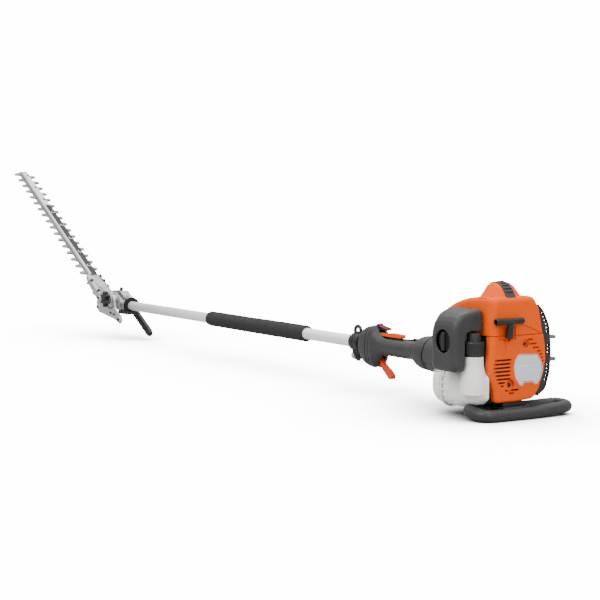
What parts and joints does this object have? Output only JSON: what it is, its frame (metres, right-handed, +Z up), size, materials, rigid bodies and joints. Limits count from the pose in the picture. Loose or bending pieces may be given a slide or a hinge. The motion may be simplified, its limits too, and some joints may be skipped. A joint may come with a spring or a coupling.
{
  "type": "pole hedge trimmer",
  "caption": "Petrol pole hedge trimmer: orange power head, straight aluminium pole with throttle handle and foam grip, and a tilting double-sided reciprocating cutter head.",
  "frame": {"origin": "centre of the flat foot under the power head's ground guard, on the ground plane, below the pole's axis", "axes": "+X along the pole from the cutter head towards the power head; -Y the operator's left; +Z up"},
  "size_m": [2.3791, 0.2533, 0.46],
  "materials": {
    "orange_shell": "satin moulded nylon, bright orange",
    "red_control": "satin orange-red control plastic",
    "dark_plastic": "fine-textured dark grey nylon",
    "black_plastic": "fine-textured black nylon",
    "foam": "dark closed-cell foam",
    "rubber": "black rubber",
    "tank_plastic": "translucent off-white polyethylene",
    "label": "light grey printed plate, blank",
    "aluminium": "satin drawn aluminium",
    "cast_aluminium": "sand-blasted cast aluminium",
    "steel": "ground and oiled steel",
    "filter_felt": "pleated filter felt"
  },
  "bodies": {
    "powerhead": {"pole_tube": "aluminium", "shaft_bush_front": "rubber", "shaft_bush_rear": "rubber", "fore_grip": "foam", "throttle_housing_left": "dark_plastic", "throttle_housing_right": "dark_plastic", "trigger_pin": "steel", "control_cable": "rubber", "clutch_cover": "dark_plastic", "av_ring": "rubber", "clutch_housing": "dark_plastic", "crankcase": "black_plastic", "cylinder": "cast_aluminium", "spark_plug": "tank_plastic", "plug_cap": "rubber", "muffler": "steel", "muffler_guard": "black_plastic", "carburettor": "cast_aluminium", "air_box_base": "black_plastic", "air_filter": "filter_felt", "cylinder_cover": "orange_shell", "top_strap": "dark_plastic", "starter_housing": "orange_shell", "label_plate": "label", "ignition_coil": "black_plastic", "fuel_tank": "tank_plastic", "engine_guard": "dark_plastic", "collar_ring": "rubber", "neck_housing": "cast_aluminium"},
    "harness": {"harness_clamp": "black_plastic", "clamp_screw": "steel"},
    "drive_line": {"drive_shaft": "steel", "clutch_drum": "steel", "drive_pinion": "steel"},
    "crank_train": {"crankshaft": "steel", "flywheel": "cast_aluminium", "clutch_shoe_a": "cast_aluminium", "clutch_shoe_b": "cast_aluminium"},
    "rod": {"con_rod": "steel"},
    "piston_body": {"piston": "aluminium"},
    "trigger": {"throttle_trigger": "red_control"},
    "lockout": {"throttle_lockout": "orange_shell"},
    "switch": {"stop_switch": "red_control"},
    "filter_cover": {"air_filter_cover": "dark_plastic"},
    "filter_knob": {"cover_knob": "black_plastic"},
    "choke": {"choke_lever": "black_plastic"},
    "primer": {"purge_bulb": "tank_plastic"},
    "pull_handle": {"starter_handle": "black_plastic"},
    "rope_pulley": {"starter_pulley": "black_plastic"},
    "tank_cap": {"fuel_cap": "black_plastic"},
    "tilt_latch": {"lock_lever": "cast_aluminium"},
    "cutter_head": {"gear_case": "cast_aluminium", "sector_plate": "cast_aluminium", "adjust_handle": "black_plastic", "guide_bar": "steel", "pivot_pin": "steel"},
    "tilt_knob": {"clamp_knob": "black_plastic"},
    "blade_gear": {"crank_gear": "steel"},
    "blade_top": {"blade_upper": "steel"},
    "blade_bottom": {"blade_lower": "steel"}
  },
  "joints": [
    {"name": "head_tilt", "type": "hinge", "parent": "powerhead", "child": "cutter_head", "pos_m": [-1.588, 0, 0.106], "axis": [0, 1, 0], "range_deg": [-119, 26]},
    {"name": "blade_top_stroke", "type": "slide", "parent": "cutter_head", "child": "blade_top", "axis": [-0.8721, 0, 0.4894], "range_m": [-0.009, 0.009]},
    {"name": "blade_bottom_stroke", "type": "slide", "parent": "cutter_head", "child": "blade_bottom", "axis": [-0.8721, 0, 0.4894], "range_m": [-0.009, 0.009]},
    {"name": "shaft_spin", "type": "hinge", "parent": "powerhead", "child": "drive_line", "pos_m": [-0.88, 0, 0.091], "axis": [1, 0, 0], "continuous": true},
    {"name": "blade_gear_spin", "type": "hinge", "parent": "cutter_head", "child": "blade_gear", "pos_m": [-1.69782, 0, 0.11465], "axis": [0.4894, 0, 0.8721], "continuous": true},
    {"name": "tilt_knob_turn", "type": "hinge", "parent": "cutter_head", "child": "tilt_knob", "pos_m": [-1.588, -0.044, 0.106], "axis": [0, -1, 0], "range_deg": [0, 270]},
    {"name": "tilt_latch_lift", "type": "hinge", "parent": "powerhead", "child": "tilt_latch", "pos_m": [-1.548, 0, 0.1135], "axis": [0, 1, 0], "range_deg": [0, 25]},
    {"name": "harness_slide", "type": "slide", "parent": "powerhead", "child": "harness", "axis": [1, 0, 0], "range_m": [-0.145, 0]},
    {"name": "trigger_squeeze", "type": "hinge", "parent": "powerhead", "child": "trigger", "pos_m": [-0.366, 0, 0.061], "axis": [0, -1, 0], "range_deg": [0, 20]},
    {"name": "lockout_press", "type": "hinge", "parent": "powerhead", "child": "lockout", "pos_m": [-0.357, 0, 0.114], "axis": [0, 1, 0], "range_deg": [0, 4]},
    {"name": "stop_switch_slide", "type": "slide", "parent": "powerhead", "child": "switch", "axis": [-1, 0, 0], "range_m": [0, 0.003]},
    {"name": "crank_spin", "type": "hinge", "parent": "powerhead", "child": "crank_train", "pos_m": [-0.03, 0, 0.091], "axis": [1, 0, 0], "continuous": true},
    {"name": "rod_pivot", "type": "hinge", "parent": "crank_train", "child": "rod", "pos_m": [-0.03, 0, 0.1], "axis": [1, 0, 0], "continuous": true},
    {"name": "piston_stroke", "type": "slide", "parent": "powerhead", "child": "piston_body", "axis": [0, 0, 1], "range_m": [-0.018, 0]},
    {"name": "rope_pulley_turn", "type": "hinge", "parent": "powerhead", "child": "rope_pulley", "pos_m": [0.04, 0, 0.091], "axis": [1, 0, 0], "range_deg": [0, 1289.15]},
    {"name": "rope_pull", "type": "slide", "parent": "powerhead", "child": "pull_handle", "axis": [0.1736, 0, 0.9848], "range_m": [0, 0.45]},
    {"name": "cover_lift_off", "type": "slide", "parent": "powerhead", "child": "filter_cover", "axis": [0, -1, 0], "range_m": [0, 0.06]},
    {"name": "cover_knob_turn", "type": "hinge", "parent": "filter_cover", "child": "filter_knob", "pos_m": [-0.003, -0.115, 0.138], "axis": [0, -1, 0], "range_deg": [0, 90]},
    {"name": "choke_turn", "type": "hinge", "parent": "powerhead", "child": "choke", "pos_m": [-0.0655, -0.066, 0.146], "axis": [0, -1, 0], "range_deg": [0, 60]},
    {"name": "primer_press", "type": "slide", "parent": "powerhead", "child": "primer", "axis": [0, 1, 0], "range_m": [0, 0.0025]},
    {"name": "fuel_cap_turn", "type": "hinge", "parent": "powerhead", "child": "tank_cap", "pos_m": [0.025, -0.077, 0.125], "axis": [0, 0, 1], "range_deg": [0, 120]}
  ],
  "couplings": [
    {"joint": "blade_bottom_stroke", "follows": "blade_top_stroke", "ratio": -1},
    {"joint": "blade_gear_spin", "follows": "shaft_spin", "ratio": 0.3},
    {"joint": "rod_pivot", "follows": "crank_spin", "ratio": -1},
    {"joint": "rope_pulley_turn", "follows": "rope_pull", "rad_per_m": 50}
  ]
}
